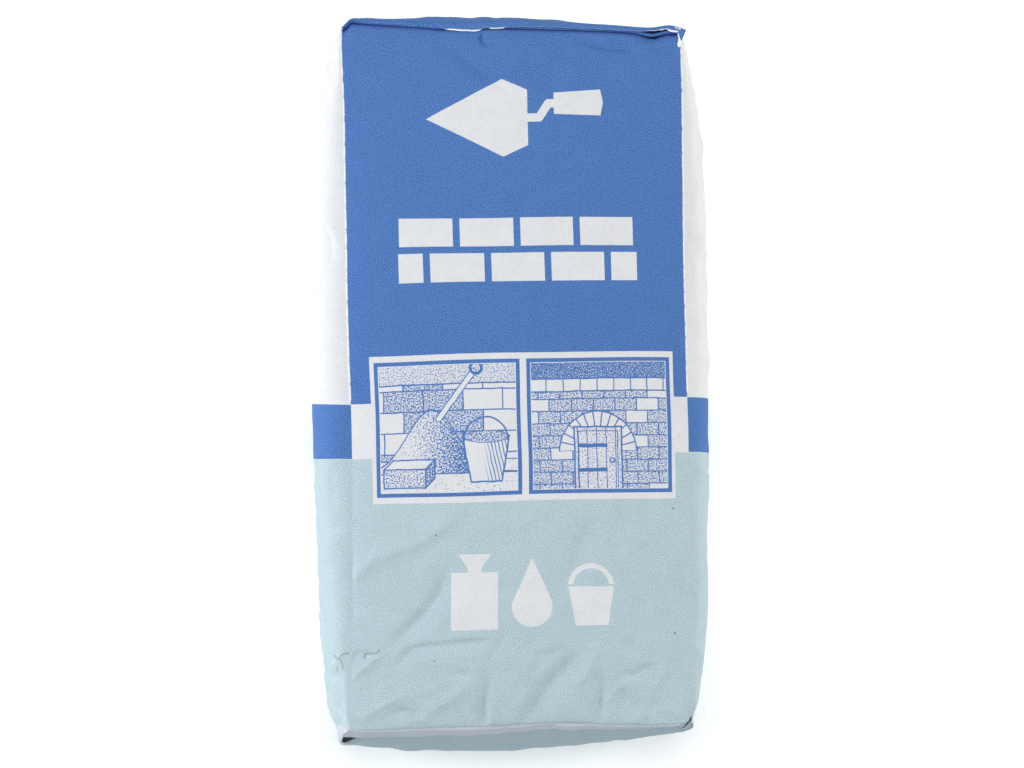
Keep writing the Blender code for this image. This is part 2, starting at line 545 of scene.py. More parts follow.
def slackened(points):
    """The sack's smooth form with its unevenness: lumps, wandering folds and blunted corners."""
    result = points.copy()
    for corner, depth, reach in BLUNT_CORNERS:
        spot = filled(*(np.array([float(c)]) for c in corner))[0]
        away = np.linalg.norm(points - spot, axis=1)
        pull = depth * np.exp(-((away / reach) ** 2))
        result -= pull[:, None] * np.array(corner, float) / math.sqrt(3.0)
    sides = HALF_WIDTH - np.abs(points[:, 0])
    ends = HALF_LENGTH - np.abs(points[:, 1] - ALONG_SHIFT)
    inside = np.hypot(np.maximum(sides, 0.0), np.maximum(ends, 0.0))
    drawn = CORNER_DRAW * np.exp(-((inside / CORNER_ROUNDING) ** 2)) * hump(points[:, 2] / 79.0 * 2.0 - 1.0)
    result[:, 0] -= drawn * np.sign(points[:, 0]) * 0.7
    result[:, 1] -= drawn * np.sign(points[:, 1]) * 0.7
    off_floor = ease(points[:, 2] / 12.0)
    for axis in range(3):
        wander = 0.40 * waves(points, 70.0, SEED + 40 + axis) + 0.15 * waves(points, 22.0, SEED + 50 + axis)
        result[:, axis] += wander * off_floor
    return result


# Dents that the closing sheets span: place as shares of the box, direction, depth and reach
DENTS = (
    # Under the flap near the right corner, where it stands off the front
    ((0.83, 1.0, 1.0), (0.0, -0.7, -0.7), 2.6, 6.0),
    # The open pocket of the left side's fold at the bottom end
    ((-0.96, -1.0, 0.64), (0.2, 0.95, 0.0), 3.0, 4.5),
)


def dented(points):
    result = points.copy()
    for spot, direction, depth, reach in DENTS:
        middle = filled(*(np.array([share]) for share in spot))[0]
        away = np.linalg.norm(points - middle, axis=1)
        result += (depth * np.exp(-((away / reach) ** 2)))[:, None] * np.array(direction)
    return result


# The frame of the two pictures on the front, in paper coordinates: left, right, low, high
PICTURES = (-64.7, 67.2, -53.3, 10.0)

# Where each panel's print lies in the OFBake UV square: left, low, width, height.
# The pictures have a place of their own, so that their thin lines stay sharp.
BAKE_PLACES = {
    "pictures": (0.002, 0.626, 0.772, 0.371),
    "back": (0.780, 0.640, 0.200, 0.350),
    "front": (0.002, 0.002, 0.322, 0.618),
    "right": (0.328, 0.002, 0.168, 0.618),
    "left": (0.500, 0.002, 0.168, 0.618),
    "top": (0.672, 0.314, 0.325, 0.306),
    "bottom": (0.672, 0.002, 0.325, 0.306),
}


def bake_square(panel, paper):
    """Where face corners of a panel go in the OFBake square, from their paper coordinates."""
    x, y = paper[:, 0], paper[:, 1]
    far = HALF_WIDTH + SIDE_PAPER
    reach = HALF_LENGTH + 6.0
    boxes = {
        "pictures": (-67.0, 69.5, -55.5, 12.5),
        "back": (far, far + 2.0 * HALF_WIDTH, -reach, reach),
        "front": (-HALF_WIDTH, HALF_WIDTH, -reach, reach),
        "right": (HALF_WIDTH, far, -reach, reach),
        "left": (-far, -HALF_WIDTH, -reach, reach),
        "top": (-HALF_WIDTH, HALF_WIDTH, HALF_LENGTH - 3.0, HALF_LENGTH + END_PAPER + 6.0),
        "bottom": (-HALF_WIDTH, HALF_WIDTH, -HALF_LENGTH - END_PAPER, -HALF_LENGTH),
    }
    left, right, low, high = boxes[panel]
    u0, v0, width, height = BAKE_PLACES[panel]
    u = u0 + (x - left) / (right - left) * width
    v = v0 + (y - low) / (high - low) * height
    return np.stack((u, v), axis=1)


# A distance that stands for no fold nearby
AWAY_FROM_FOLDS = 50.0


def fold_distance(panel, across, along, up):
    """How far face corners are from the nearest side fold and from the nearest end fold."""
    from_side = (1.0 - np.abs(across)) * HALF_WIDTH
    from_end = (1.0 - np.abs(along)) * HALF_LENGTH
    if panel in ("left", "right"):
        down = down_share(up)
        from_side = np.minimum(down, 1.0 - down) * SIDE_PAPER
    if panel != "front":
        from_end = np.full_like(up, AWAY_FROM_FOLDS)
    return np.stack((from_side, from_end), axis=1)


def in_box(x, y, box):
    left, right, low, high = box
    return (x > left) & (x < right) & (y > low) & (y < high)


def build_skin():
    """The sack's paper as one closed mesh, with its UV maps and the material of each face."""
    quads = lattice()
    places = np.concatenate([quads[p].reshape(-1, 3) for p in PANELS])
    keys = (places[:, 0] * (CELLS_ALONG + 1) + places[:, 1]) * (CELLS_UP + 1) + places[:, 2]
    _, first, index = np.unique(keys, return_index=True, return_inverse=True)
    corners = places[first]
    across, along, up = ACROSS[corners[:, 0]], ALONG[corners[:, 1]], UP[corners[:, 2]]
    faces = index.reshape(-1, 4)
    points = slackened(filled(across, along, up))
    points += normals_of(points, faces) * sack_relief(across, along, up)[:, None]
    points[:, 2] = np.maximum(points[:, 2], 0.0)
    tree = BVHTree.FromPolygons([tuple(p) for p in points], [tuple(f) for f in faces])
    papers, bakes, kinds, borders = [], [], [], []
    for panel in PANELS:
        place = quads[panel].reshape(-1, 3)
        spot = paper_place(panel, ACROSS[place[:, 0]], ALONG[place[:, 1]], UP[place[:, 2]])
        paper = np.stack(spot, axis=1)
        bake = bake_square(panel, paper)
        middle = paper.reshape(-1, 4, 2).mean(axis=1)
        kind = np.zeros(len(middle), int)
        if panel == "front":
            kind[in_box(middle[:, 0], middle[:, 1], (-52.0, 53.0, 30.0, 138.0))] = 1
            kind[in_box(middle[:, 0], middle[:, 1], (-36.0, 42.0, -114.0, -72.0))] = 1
            pictured = in_box(middle[:, 0], middle[:, 1], (-65.7, 68.2, -54.3, 11.0))
            kind[pictured] = 2
            inside = np.repeat(pictured, 4)
            bake[inside] = bake_square("pictures", paper[inside])
        papers.append(paper)
        bakes.append(bake)
        kinds.append(kind)
        borders.append(fold_distance(panel, ACROSS[place[:, 0]], ALONG[place[:, 1]], UP[place[:, 2]]))
    uvs = {
        "paper": np.concatenate(papers),
        "folds": np.concatenate(borders),
        "OFBake": np.concatenate(bakes),
    }
    mesh = build_mesh("sack_skin", dented(points), faces, uvs)
    mesh.polygons.foreach_set("material_index", np.concatenate(kinds).astype(np.int32))
    return mesh, tree


def sheet_mesh(name, grid, paper, thickness):
    """A thin closed sheet. grid holds the points of its outer face in rows, paper their print places.

    Its outer face takes material 0; the inner face and the cut edges take material 1.
    """
    rows, columns = grid.shape[:2]
    number = np.arange(rows * columns).reshape(rows, columns)
    quads = np.stack((number[:-1, :-1], number[:-1, 1:], number[1:, 1:], number[1:, :-1]), axis=-1)
    outer = quads.reshape(-1, 4)
    points = grid.reshape(-1, 3)
    normals = normals_of(points, outer)
    sack_middle = np.array((0.0, 0.0, SIDE_HEIGHT / 2.0))
    if ((points - sack_middle) * normals).sum() < 0.0:
        outer = outer[:, ::-1]
        normals = -normals
        ring_step = -1
    else:
        ring_step = 1
    ring = np.concatenate((number[0, :-1], number[:-1, -1], number[-1, :0:-1], number[:0:-1, 0]))[::ring_step]
    after = np.roll(ring, -1)
    count = len(points)
    rim = np.stack((after, ring, ring + count, after + count), axis=1)
    inner = outer[:, ::-1] + count
    faces = np.concatenate((outer, inner, rim))
    both = np.concatenate((points, points - normals * thickness))
    flat = paper.reshape(-1, 2)
    place = np.concatenate((flat, flat))[faces.ravel()]
    r, c = np.divmod(np.arange(count), columns)
    across = 0.01 + 0.98 * c / (columns - 1)
    down = r / (rows - 1)
    outer_bake = np.stack((across, 0.30 + 0.69 * down), axis=1)[outer.ravel()]
    inner_bake = np.stack((across, 0.01 + 0.19 * down), axis=1)[outer[:, ::-1].ravel()]
    walk = 0.01 + 0.98 * np.arange(len(ring)) / len(ring)
    walk_next = walk + 0.98 / len(ring)
    low, high = np.full(len(ring), 0.22), np.full(len(ring), 0.28)
    rim_bake = np.stack((walk_next, high, walk, high, walk, low, walk_next, low), axis=1).reshape(-1, 2)
    bake = np.concatenate((outer_bake, inner_bake, rim_bake))
    uvs = {"paper": place, "folds": np.full_like(place, AWAY_FROM_FOLDS), "OFBake": bake}
    mesh = build_mesh(name, both, faces, uvs)
    kinds = np.ones(len(faces), np.int32)
    kinds[: len(outer)] = 0
    mesh.polygons.foreach_set("material_index", kinds)
    mesh.set_sharp_from_angle(angle=math.radians(50.0))
    return mesh


def laid_on(tree, points, offsets):
    """Points moved to the nearest place of the sack's paper, and lifted off it by the offsets."""
    result = np.empty_like(points)
    flat, lifts, out = points.reshape(-1, 3), offsets.ravel(), result.reshape(-1, 3)
    for k in range(len(flat)):
        spot, normal, _, _ = tree.find_nearest(Vector(flat[k]))
        out[k] = spot + normal * lifts[k]
    return result


def relaxed(grid, passes):
    """A grid of points whose inner rows and columns are evened out a little."""
    result = grid.copy()
    for _ in range(passes):
        around = result[:-2, 1:-1] + result[2:, 1:-1] + result[1:-1, :-2] + result[1:-1, 2:]
        result[1:-1, 1:-1] = 0.5 * result[1:-1, 1:-1] + 0.125 * around
    return result


def across_places(left, right, step):
    count = int(round((right - left) / step)) + 1
    return np.linspace(left, right, count)


def top_sheet(name, tree, materials, left, right, lift, thickness, overhang, gap):
    """A ply of the top closing: it comes up over the end from the back and just over the front fold.

    overhang and gap are functions of the place across: how far its free edge reaches over the
    front, and how high it stands there.
    """
    x = across_places(left, right, 0.9)
    share = np.clip(x / HALF_WIDTH, -1.0, 1.0)
    past = x - share * HALF_WIDTH
    ups = np.concatenate((np.linspace(-0.94, 0.90, 40), (0.94, 0.97, 0.99)))
    rows, papers = [], []
    for up in ups:
        level = np.full_like(x, up)
        base = filled(share, np.ones_like(x), level)
        start = ease((up + 0.94) / 0.10)
        stand = flap_stand(x) * ease((up - 0.55) / 0.4)
        spot = laid_on(tree, base, 0.05 + (lift * flap_thins(x) - 0.05) * start + stand)
        rows.append(spot + past[:, None] * np.array((1.0, -0.2, 0.0)))
        papers.append((1.0 - up) / 2.0 * END_PAPER)
    fold = laid_on(tree, filled(share, np.ones_like(x), np.ones_like(x)), np.zeros_like(x))
    fold += past[:, None] * np.array((1.0, -0.2, -0.3))
    fold[:, 1] += flap_stand(x)
    reach, height = overhang(x), gap(x)
    tall = lift * flap_thins(x)
    for share_over, back, rise in ((0.0, 0.45, 0.55), (0.45, 0.0, 0.85), (1.0, 0.0, 1.0)):
        step = np.stack((np.zeros_like(x), tall * back - reach * share_over, tall * rise + height * share_over), axis=1)
        rows.append(fold + step)
        papers.append(-reach * share_over)
    grid = relaxed(np.array(rows), 2)
    down = np.array([np.broadcast_to(p, x.shape) for p in papers])
    edge = fold_rise(share, np.ones_like(x), np.ones_like(x))
    paper = np.stack((np.broadcast_to(x, down.shape), HALF_LENGTH + edge + down), axis=-1)
    return sack_piece(name, sheet_mesh(name, grid, paper, thickness), materials)


def bump_between(x, left, right, soft=1.5):
    """1 between two places, 0 outside them, with soft ends."""
    return ease((x - left) / soft + 0.5) * ease((right - x) / soft + 0.5)


def flap_stand(x):
    """How far the flap stands off the end near its right corner."""
    return 1.0 * ease((x - 60.0) / 8.0)


def flap_thins(x):
    """The flap lies closer to the sack towards its left corner."""
    return 0.35 + 0.65 * ease((x + 66.0) / 34.0)


def flap_tucked(x):
    """1 where the flap's free edge is tucked out of sight in the front's groove, at the left."""
    return ease((-29.0 - x) / 5.0)


def outer_overhang(x):
    wavering = 0.12 * np.sin(x * 0.31) + 0.08 * np.sin(x * 0.83 + 1.0)
    right = 0.75 * ease((x + 8.0) / 16.0)
    return 1.9 + wavering - right - 0.9 * flap_tucked(x) - 0.5 * bump_between(x, 58.0, 68.5, 3.0)


def outer_gap(x):
    return 0.1 - 2.8 * flap_tucked(x) + 0.4 * bump_between(x, 58.0, 69.0, 5.0)


def inner_overhang(x):
    """The inner ply shows past the outer one in a few places."""
    peeks = 1.0 * bump_between(x, -28.5, -13.0, 5.0) + 0.8 * bump_between(x, -10.0, -3.0, 2.0)
    peeks += 0.30 * bump_between(x, -3.0, 55.0, 3.0) + 1.2 * bump_between(x, 67.0, 74.5, 2.0)
    return outer_overhang(x) - 0.35 + peeks


def inner_gap(x):
    return outer_gap(x) - 0.2


def strip_drop(x):
    """How far the bottom strip reaches down the end: widest at the left, with a toothed edge."""
    drop = np.interp(x, (-73.5, -60.0, -20.0, 5.0, 40.0, 60.0, 67.0), (7.0, 6.3, 4.9, 4.0, 3.3, 2.8, 0.6))
    teeth = np.abs((x / 1.7) % 1.0 - 0.5)
    return drop + 0.8 * teeth + 0.15 * np.sin(x * 0.4)


def bottom_strip(tree, materials):
    """The unprinted edge of the front's paper, folded over the bottom end and cut with teeth."""
    x = across_places(-73.0, 67.0, 0.36)
    drop = strip_drop(x)
    rows, papers = [], []
    for share_down, lift in ((0.0, -0.05), (0.05, 0.2), (0.15, 0.42), (0.3, 0.5), (0.5, 0.5), (0.7, 0.52),
                             (0.85, 0.6), (1.0, 0.7)):
        down = drop * share_down
        up = 1.0 - 2.0 * down / END_PAPER
        base = filled(x / HALF_WIDTH, -np.ones_like(x), up)
        rows.append(laid_on(tree, base, np.full_like(x, lift)))
        papers.append(-HALF_LENGTH - down)
    paper = np.stack((np.broadcast_to(x, (len(rows), len(x))), np.array(papers)), axis=-1)
    name = "bottom_cut_strip"
    return sack_piece(name, sheet_mesh(name, np.array(rows), paper, 0.3), materials)


def bottom_flap(tree, materials):
    """The back's paper, folded up over the bottom end. Its free edge lies under the strip."""
    ups = np.concatenate(((-0.95, -0.93), np.linspace(-0.90, 0.93, 44)))
    count = 150
    rows, papers = [], []
    for up in ups:
        half = np.interp(up, (-1.0, 1.0), (72.0, 64.0))
        x = np.linspace(-half, half, count)
        base = filled(x / HALF_WIDTH, -np.ones_like(x), np.full_like(x, up))
        lift = 0.05 + 0.25 * ease((up + 0.95) / 0.08)
        rows.append(laid_on(tree, base, np.full_like(x, lift)))
        papers.append(np.stack((x, np.full_like(x, -HALF_LENGTH - (1.0 - up) / 2.0 * END_PAPER)), axis=1))
    name = "bottom_closing_flap"
    return sack_piece(name, sheet_mesh(name, relaxed(np.array(rows), 1), np.array(papers), 0.25), materials)


def corner_tuck(name, tree, materials, sign):
    """A side's paper tucked in at the bottom: it covers the side's last stretch and a little of the end.

    Its free edge runs from the front corner across the side, furthest from the end at mid height.
    """
    ups = np.linspace(0.96, -0.94, 66)
    down = (1.0 - ups) / 2.0
    on_side = 0.8 + 12.5 * np.sin(down * math.pi) ** 0.9
    on_end = 0.4 + 5.0 * ease((0.50 - ups) / 0.12) * ease((ups + 0.94) / 0.1)
    rows, papers = [], []
    for share in np.concatenate((np.linspace(-1.0, 0.0, 10), np.linspace(0.2, 1.0, 5))):
        reach = on_side if share < 0.0 else on_end
        from_side = np.maximum(share, 0.0) * reach
        from_end = np.maximum(-share, 0.0) * reach
        across = sign * (1.0 - from_side / HALF_WIDTH)
        along = -1.0 + from_end / HALF_LENGTH
        lift = 0.15 + 0.25 * ease((1.0 - abs(share)) / 0.3)
        rows.append(laid_on(tree, filled(across, along, ups), np.full_like(ups, lift)))
        paper_x = sign * (HALF_WIDTH + down * SIDE_PAPER)
        papers.append(np.stack((paper_x, along * HALF_LENGTH), axis=1))
    mesh = sheet_mesh(name, relaxed(np.array(rows), 1), np.array(papers), 0.3)
    return sack_piece(name, mesh, materials)


def small_sheet(name, rows, thickness, paper_shift, materials):
    """A scrap of paper from rows of points, whose print is found at its place plus a shift."""
    grid = np.array(rows, float)
    paper = grid[:, :, :2] + np.array(paper_shift, float)
    return sack_piece(name, sheet_mesh(name, grid, paper, thickness), materials)


def top_corner_ear(materials):
    """The folded tip of the right side's paper, which stands out at the top right corner."""
    rows = (
        ((72.6, 151.5, 76.0), (73.6, 151.6, 76.3), (74.9, 151.9, 76.1), (76.3, 152.0, 75.2)),
        ((72.8, 150.4, 76.2), (73.7, 150.5, 76.5), (74.9, 150.7, 76.2), (76.0, 150.8, 75.3)),
        ((73.1, 149.2, 76.1), (73.8, 149.2, 76.3), (74.6, 149.3, 76.0), (75.3, 149.3, 75.4)),
        ((73.4, 148.1, 75.8), (73.8, 148.0, 75.9), (74.3, 147.9, 75.7), (74.7, 147.8, 75.4)),
        ((73.9, 147.1, 75.3), (74.0, 147.0, 75.3), (74.1, 146.9, 75.2), (74.2, 146.9, 75.1)),
    )
    return small_sheet("top_corner_ear", rows, 0.3, (-30.0, -30.0), materials)


def top_corner_liner(materials):
    """A sliver of the inner ply that shows under the ear."""
    rows = (
        ((72.5, 150.2, 75.4), (73.2, 150.2, 75.7), (73.9, 150.1, 75.3)),
        ((72.9, 148.3, 75.5), (73.5, 148.3, 75.8), (74.1, 148.2, 75.3)),
        ((72.6, 146.4, 75.5), (73.3, 146.3, 75.8), (74.0, 146.2, 75.2)),
        ((72.3, 145.0, 75.4), (73.1, 145.1, 75.7), (73.8, 145.4, 75.2)),
        ((72.9, 144.0, 75.3), (73.3, 144.2, 75.4), (73.6, 144.6, 75.1)),
    )
    return small_sheet("top_corner_liner", rows, 0.25, (0.0, 0.0), materials)


# Colours of the paper and the inks, as the paper shows them in plain white light. A few below hold painted light or
# shade, as their notes say
WHITE = (0.748, 0.748, 0.776, 1.0)
RAW_WHITE = (0.79, 0.80, 0.86, 1.0)
GREY_PAPER = (0.60, 0.64, 0.71, 1.0)
# Darker than the raw paper, for the unprinted left tuck: painted shade
TUCK_PAINTED_SHADE_GREY = (0.50, 0.56, 0.60, 1.0)
# Brighter than the raw paper, for the top plies' fringe: painted light
LINER_PAINTED_LIGHT_WHITE = (0.96, 0.98, 1.0, 1.0)
# Whiter than the paper, for the upper side folds: partly worn ink, partly painted highlight
WORN_AND_HIGHLIGHT_WHITE = (0.93, 0.94, 0.96, 1.0)
BLUE = (0.086, 0.194, 0.484, 1.0)
AQUA = (0.474, 0.590, 0.640, 1.0)
# Painted shadow in the gap under the lifted top flap
GAP_PAINTED_SHADOW = (0.005, 0.006, 0.014, 1.0)
# Painted shade in the bottom corners' pocket and gap, and the colour of the dark specks of dirt
SHADE_AND_SPECK_BROWN = (0.055, 0.050, 0.042, 1.0)
EDGE = 0.12


class Number:
    """A number that a shader works out. Sums and comparisons of it add Math nodes."""

    def __init__(self, tree, socket):
        self.tree = tree
        self.socket = socket

    def math(self, operation, *others, clamp=False):
        node = self.tree.nodes.new("ShaderNodeMath")
        node.operation = operation
        node.use_clamp = clamp
        for slot, value in zip(node.inputs, (self, *others)):
            if isinstance(value, Number):
                self.tree.links.new(value.socket, slot)
            else:
                slot.default_value = value
        return Number(self.tree, node.outputs[0])

    def __add__(self, other):
        return self.math("ADD", other)

    def __sub__(self, other):
        return self.math("SUBTRACT", other)

    def __mul__(self, other):
        return self.math("MULTIPLY", other)

    def __truediv__(self, other):
        return self.math("DIVIDE", other)

    def __neg__(self):
        return self * -1.0

    def __abs__(self):
        return self.math("ABSOLUTE")

    def floor(self):
        return self.math("FLOOR")

    def clamped(self):
        return self.math("ADD", 0.0, clamp=True)

    def off_grid(self, step):
        """Distance to the nearest whole multiple of a step."""
        return self.math("PINGPONG", step / 2.0)

    def at_least(self, *others):
        return self.merged("MAXIMUM", others)

    def at_most(self, *others):
        return self.merged("MINIMUM", others)

    def merged(self, operation, others):
        result = self
        for other in others:
            result = result.math(operation, other)
        return result


class Spot:
    """A place on the paper that a shader works out, in millimetres."""

    def __init__(self, tree, socket):
        self.tree = tree
        self.socket = socket
        self.parts = None

    def vector(self, operation, other=None, scale=None):
        node = self.tree.nodes.new("ShaderNodeVectorMath")
        node.operation = operation
        self.tree.links.new(self.socket, node.inputs[0])
        if isinstance(other, Spot):
            self.tree.links.new(other.socket, node.inputs[1])
        elif other is not None:
            node.inputs[1].default_value = (other[0], other[1], 0.0)
        if isinstance(scale, Number):
            self.tree.links.new(scale.socket, node.inputs["Scale"])
        elif scale is not None:
            node.inputs["Scale"].default_value = scale
        return node

    def minus(self, place):
        return Spot(self.tree, self.vector("SUBTRACT", place).outputs[0])

    def plus(self, place):
        return Spot(self.tree, self.vector("ADD", place).outputs[0])

    def scaled(self, scale):
        return Spot(self.tree, self.vector("SCALE", scale=scale).outputs[0])

    def stretched(self, across, along):
        """The place stretched by a factor of its own in each direction."""
        return Spot(self.tree, self.vector("MULTIPLY", (across, along)).outputs[0])

    def dot(self, direction):
        return Number(self.tree, self.vector("DOT_PRODUCT", direction).outputs[1])

    def length(self):
        return Number(self.tree, self.vector("LENGTH").outputs[1])

    def split(self):
        if self.parts is None:
            node = self.tree.nodes.new("ShaderNodeSeparateXYZ")
            self.tree.links.new(self.socket, node.inputs[0])
            self.parts = (Number(self.tree, node.outputs[0]), Number(self.tree, node.outputs[1]))
        return self.parts

    def noise(self, size, detail=2.0, roughness=0.5):
        """Smooth noise around 0.5, whose lumps are about as wide as size."""
        node = self.tree.nodes.new("ShaderNodeTexNoise")
        self.tree.links.new(self.socket, node.inputs["Vector"])
        node.inputs["Scale"].default_value = 1.0 / size
        node.inputs["Detail"].default_value = detail
        node.inputs["Roughness"].default_value = roughness
        return Number(self.tree, node.outputs[0])

    def wobbled(self, size, reach):
        """The same place moved about by noise, as a hand-drawn line is."""
        node = self.tree.nodes.new("ShaderNodeTexNoise")
        self.tree.links.new(self.socket, node.inputs["Vector"])
        node.inputs["Scale"].default_value = 1.0 / size
        node.inputs["Detail"].default_value = 1.0
        drift = Spot(self.tree, node.outputs[1]).minus((0.5, 0.5))
        return self.plus(drift.stretched(2.0 * reach, 2.0 * reach))

    def from_box(self, left, right, low, high):
        """Distance outside a box, below zero inside it."""
        centre = ((left + right) / 2.0, (low + high) / 2.0)
        x, y = Spot(self.tree, self.minus(centre).vector("ABSOLUTE").outputs[0]).split()
        return (x - (right - left) / 2.0).at_least(y - (high - low) / 2.0)

    def from_circle(self, centre, radius):
        return self.minus(centre).length() - radius

    def from_line(self, start, end):
        """Distance from a straight stroke between two points."""
        dx, dy = end[0] - start[0], end[1] - start[1]
        square = dx * dx + dy * dy
        away = self.minus(start)
        share = away.dot((dx / square, dy / square)).clamped()
        along = self.tree.nodes.new("ShaderNodeVectorMath")
        along.operation = "SCALE"
        along.inputs[0].default_value = (dx, dy, 0.0)
        self.tree.links.new(share.socket, along.inputs["Scale"])
        return away.minus(Spot(self.tree, along.outputs[0])).length()

    def from_strokes(self, *points):
        """Distance from a line through several points."""
        result = None
        for start, end in zip(points[:-1], points[1:]):
            distance = self.from_line(start, end)
            result = distance if result is None else result.at_most(distance)
        return result

    def from_corners(self, *points):
        """Distance outside a shape with straight sides and no hollow, whose corners run anticlockwise."""
        result = None
        for start, end in zip(points, points[1:] + points[:1]):
            dx, dy = end[0] - start[0], end[1] - start[1]
            size = math.hypot(dx, dy)
            out = (dy / size, -dx / size)
            distance = self.dot(out) - (start[0] * out[0] + start[1] * out[1])
            result = distance if result is None else result.at_least(distance)
        return result


def inked(distance, soft=EDGE):
    """1 where a distance is below zero, 0 above it, with an edge as soft as printed ink has."""
    return (distance * (-1.0 / soft) + 0.5).clamped()


def line(distance, width):
    return inked(abs(distance) - width / 2.0)


def over(below, mask, above):
    """Ink with a shape laid over it: the ink of above where mask is 1."""
    return below + (above * mask - below * mask)


def mix(tree, factor, first, second):
    node = tree.nodes.new("ShaderNodeMix")
    node.data_type = "RGBA"
    tree.links.new(factor.socket, node.inputs[0])
    for slot, value in ((node.inputs[6], first), (node.inputs[7], second)):
        if isinstance(value, tuple):
            slot.default_value = value
        else:
            tree.links.new(value, slot)
    return node.outputs[2]


# Dark specks on the front: place and radius
SPECKS = (
    ((-37.5, -67.4), 0.35), ((65.8, -57.6), 0.4), ((65.7, -112.0), 0.45), ((-38.1, -121.8), 0.3),
    ((-8.0, 84.2), 0.25), ((0.0, 72.4), 0.25), ((-72.0, -60.0), 0.3),
)


def base_layout(spot):
    """The printed fields of the sack: how much blue ink and how much aqua ink is at a place."""
    x, y = spot.split()
    from_back = abs(x - (2.0 * HALF_WIDTH + SIDE_PAPER))
    panel = abs(x).at_most(from_back)
    on_panel = inked(panel - (HALF_WIDTH - 0.15))
    upper = inked(-y - 9.75)
    band = inked(abs(y + 21.6) - 11.7)
    side_block = band * inked(-panel + (HALF_WIDTH - 0.15))
    blue = (on_panel * upper).at_least(side_block)
    aqua = inked(y + 33.5)
    return blue, aqua


def plain_print(spot):
    blue, aqua = base_layout(spot)
    colour = mix(spot.tree, blue, WHITE, BLUE)
    colour = mix(spot.tree, aqua, colour, AQUA)
    return specked_and_shaded(spot, colour)


def specked_and_shaded(spot, colour):
    """The colour with the sack's dark specks of dirt, and painted shade in the pocket at the bottom left corner, along
    the gap at the bottom right corner and in the gap under the top flap.
    """
    # Painted shade inside the open pocket at the bottom left corner
    pocket = spot.from_corners((-73.6, -176.0), (-66.5, -166.5), (-70.8, -159.2), (-73.6, -163.0))
    colour = mix(spot.tree, inked(pocket, 0.8), colour, SHADE_AND_SPECK_BROWN)
    # Painted shadow line in the gap between the plies at the bottom right corner
    slot = spot.from_strokes((73.5, -150.6), (72.6, -152.6), (70.9, -155.6), (65.7, -165.7))
    colour = mix(spot.tree, inked(slot - 0.6, 0.6), colour, SHADE_AND_SPECK_BROWN)
    # Painted shadow in the gap under the lifted flap near the top right corner
    flap_gap_shadow = spot.from_corners((55.5, 150.0), (62.4, 148.6), (67.4, 150.0), (67.0, 150.2), (56.0, 150.2))
    colour = mix(spot.tree, inked(flap_gap_shadow, 0.5), colour, GAP_PAINTED_SHADOW)
    specks = None
    for place, radius in SPECKS:
        speck = spot.from_circle(place, radius)
        specks = speck if specks is None else specks.at_most(speck)
    return mix(spot.tree, inked(specks, 0.3) * 0.7, colour, SHADE_AND_SPECK_BROWN)


def trowel(spot):
    """A bricklayer's trowel seen from above, pointing left."""
    blade = spot.from_corners((-38, 113), (-5, 96), (6, 101), (6, 125), (-5, 130))
    neck = spot.from_strokes((4, 113), (11, 113), (15, 119), (19, 119)) - 1.8
    handle = spot.from_corners((18, 115), (37, 114), (38, 119), (37, 124), (18, 123))
    return blade.at_most(neck, handle - 0.6)


def brick_courses(spot):
    """Two courses of plain bricks, the lower one half a brick along."""
    x, y = spot.split()
    pitch, height, joint = 26.0, 12.5, 3.0
    low, high = 41.0, 41.0 + 2.0 * height + joint
    lower = inked(y - (low + height + joint / 2.0), 0.01)
    shifted = x + lower * (pitch / 2.0)
    upright = shifted.off_grid(pitch) * -1.0 + joint / 2.0
    level = abs(y - (low + high) / 2.0) * -1.0 + joint / 2.0
    return spot.from_box(-51.0, 52.0, low, high).at_least(upright, level)


def small_signs(spot):
    """A sack, a drop of water and a bucket, side by side."""
    body = spot.from_box(-29, -13, -107, -86) - 2.0
    neck = spot.from_box(-24, -18, -86, -80)
    ruffle = spot.from_corners((-24, -82), (-18, -82), (-14, -76), (-28, -76))
    sack = body.at_most(neck, ruffle)
    drop_round = spot.from_circle((3.5, -99.5), 8.6)
    drop_tip = spot.from_corners((-4.4, -96.1), (11.4, -96.1), (3.5, -78.0))
    drop = drop_round.at_most(drop_tip)
    bucket = spot.from_corners((22, -108), (36, -108), (39, -91), (19, -91))
    handle = (abs(spot.from_circle((29, -91), 9.0)) - 1.1).at_least(spot.dot((0, -1)) - 90.0)
    return sack.at_most(drop, bucket, handle)


def signs_print(spot):
    """The front's fields with the plain white signs that stand where the lettering would be."""
    drawn = spot.wobbled(1.6, 0.07)
    signs = inked(trowel(drawn).at_most(brick_courses(drawn), small_signs(drawn)))
    return mix(spot.tree, signs, plain_print(spot), WHITE)


def stippled(spot, size, share):
    """Ink in small irregular dots that cover about the share of the paper."""
    return ((spot.noise(size, 1.0, 0.6) - (0.5 + (0.5 - share) * 0.45)) * 14.0 + 0.5).clamped()


def brick_wall(spot, pitch, height, joint, seed):
    """Lines of a brick wall in running bond, and a random number from 0 to 1 for each brick."""
    x, y = spot.split()
    course = (y / height).floor()
    shifted = x + course.math("MODULO", 2.0) * (pitch / 2.0)
    upright = shifted.off_grid(pitch)
    level = y.off_grid(height)
    lines = inked(upright.at_most(level) - joint / 2.0)
    node = spot.tree.nodes.new("ShaderNodeTexWhiteNoise")
    node.noise_dimensions = "3D"
    cell = spot.tree.nodes.new("ShaderNodeCombineXYZ")
    spot.tree.links.new((shifted / pitch).floor().socket, cell.inputs[0])
    spot.tree.links.new(course.socket, cell.inputs[1])
    cell.inputs[2].default_value = seed
    spot.tree.links.new(cell.outputs[0], node.inputs["Vector"])
    return lines, Number(spot.tree, node.outputs[0])


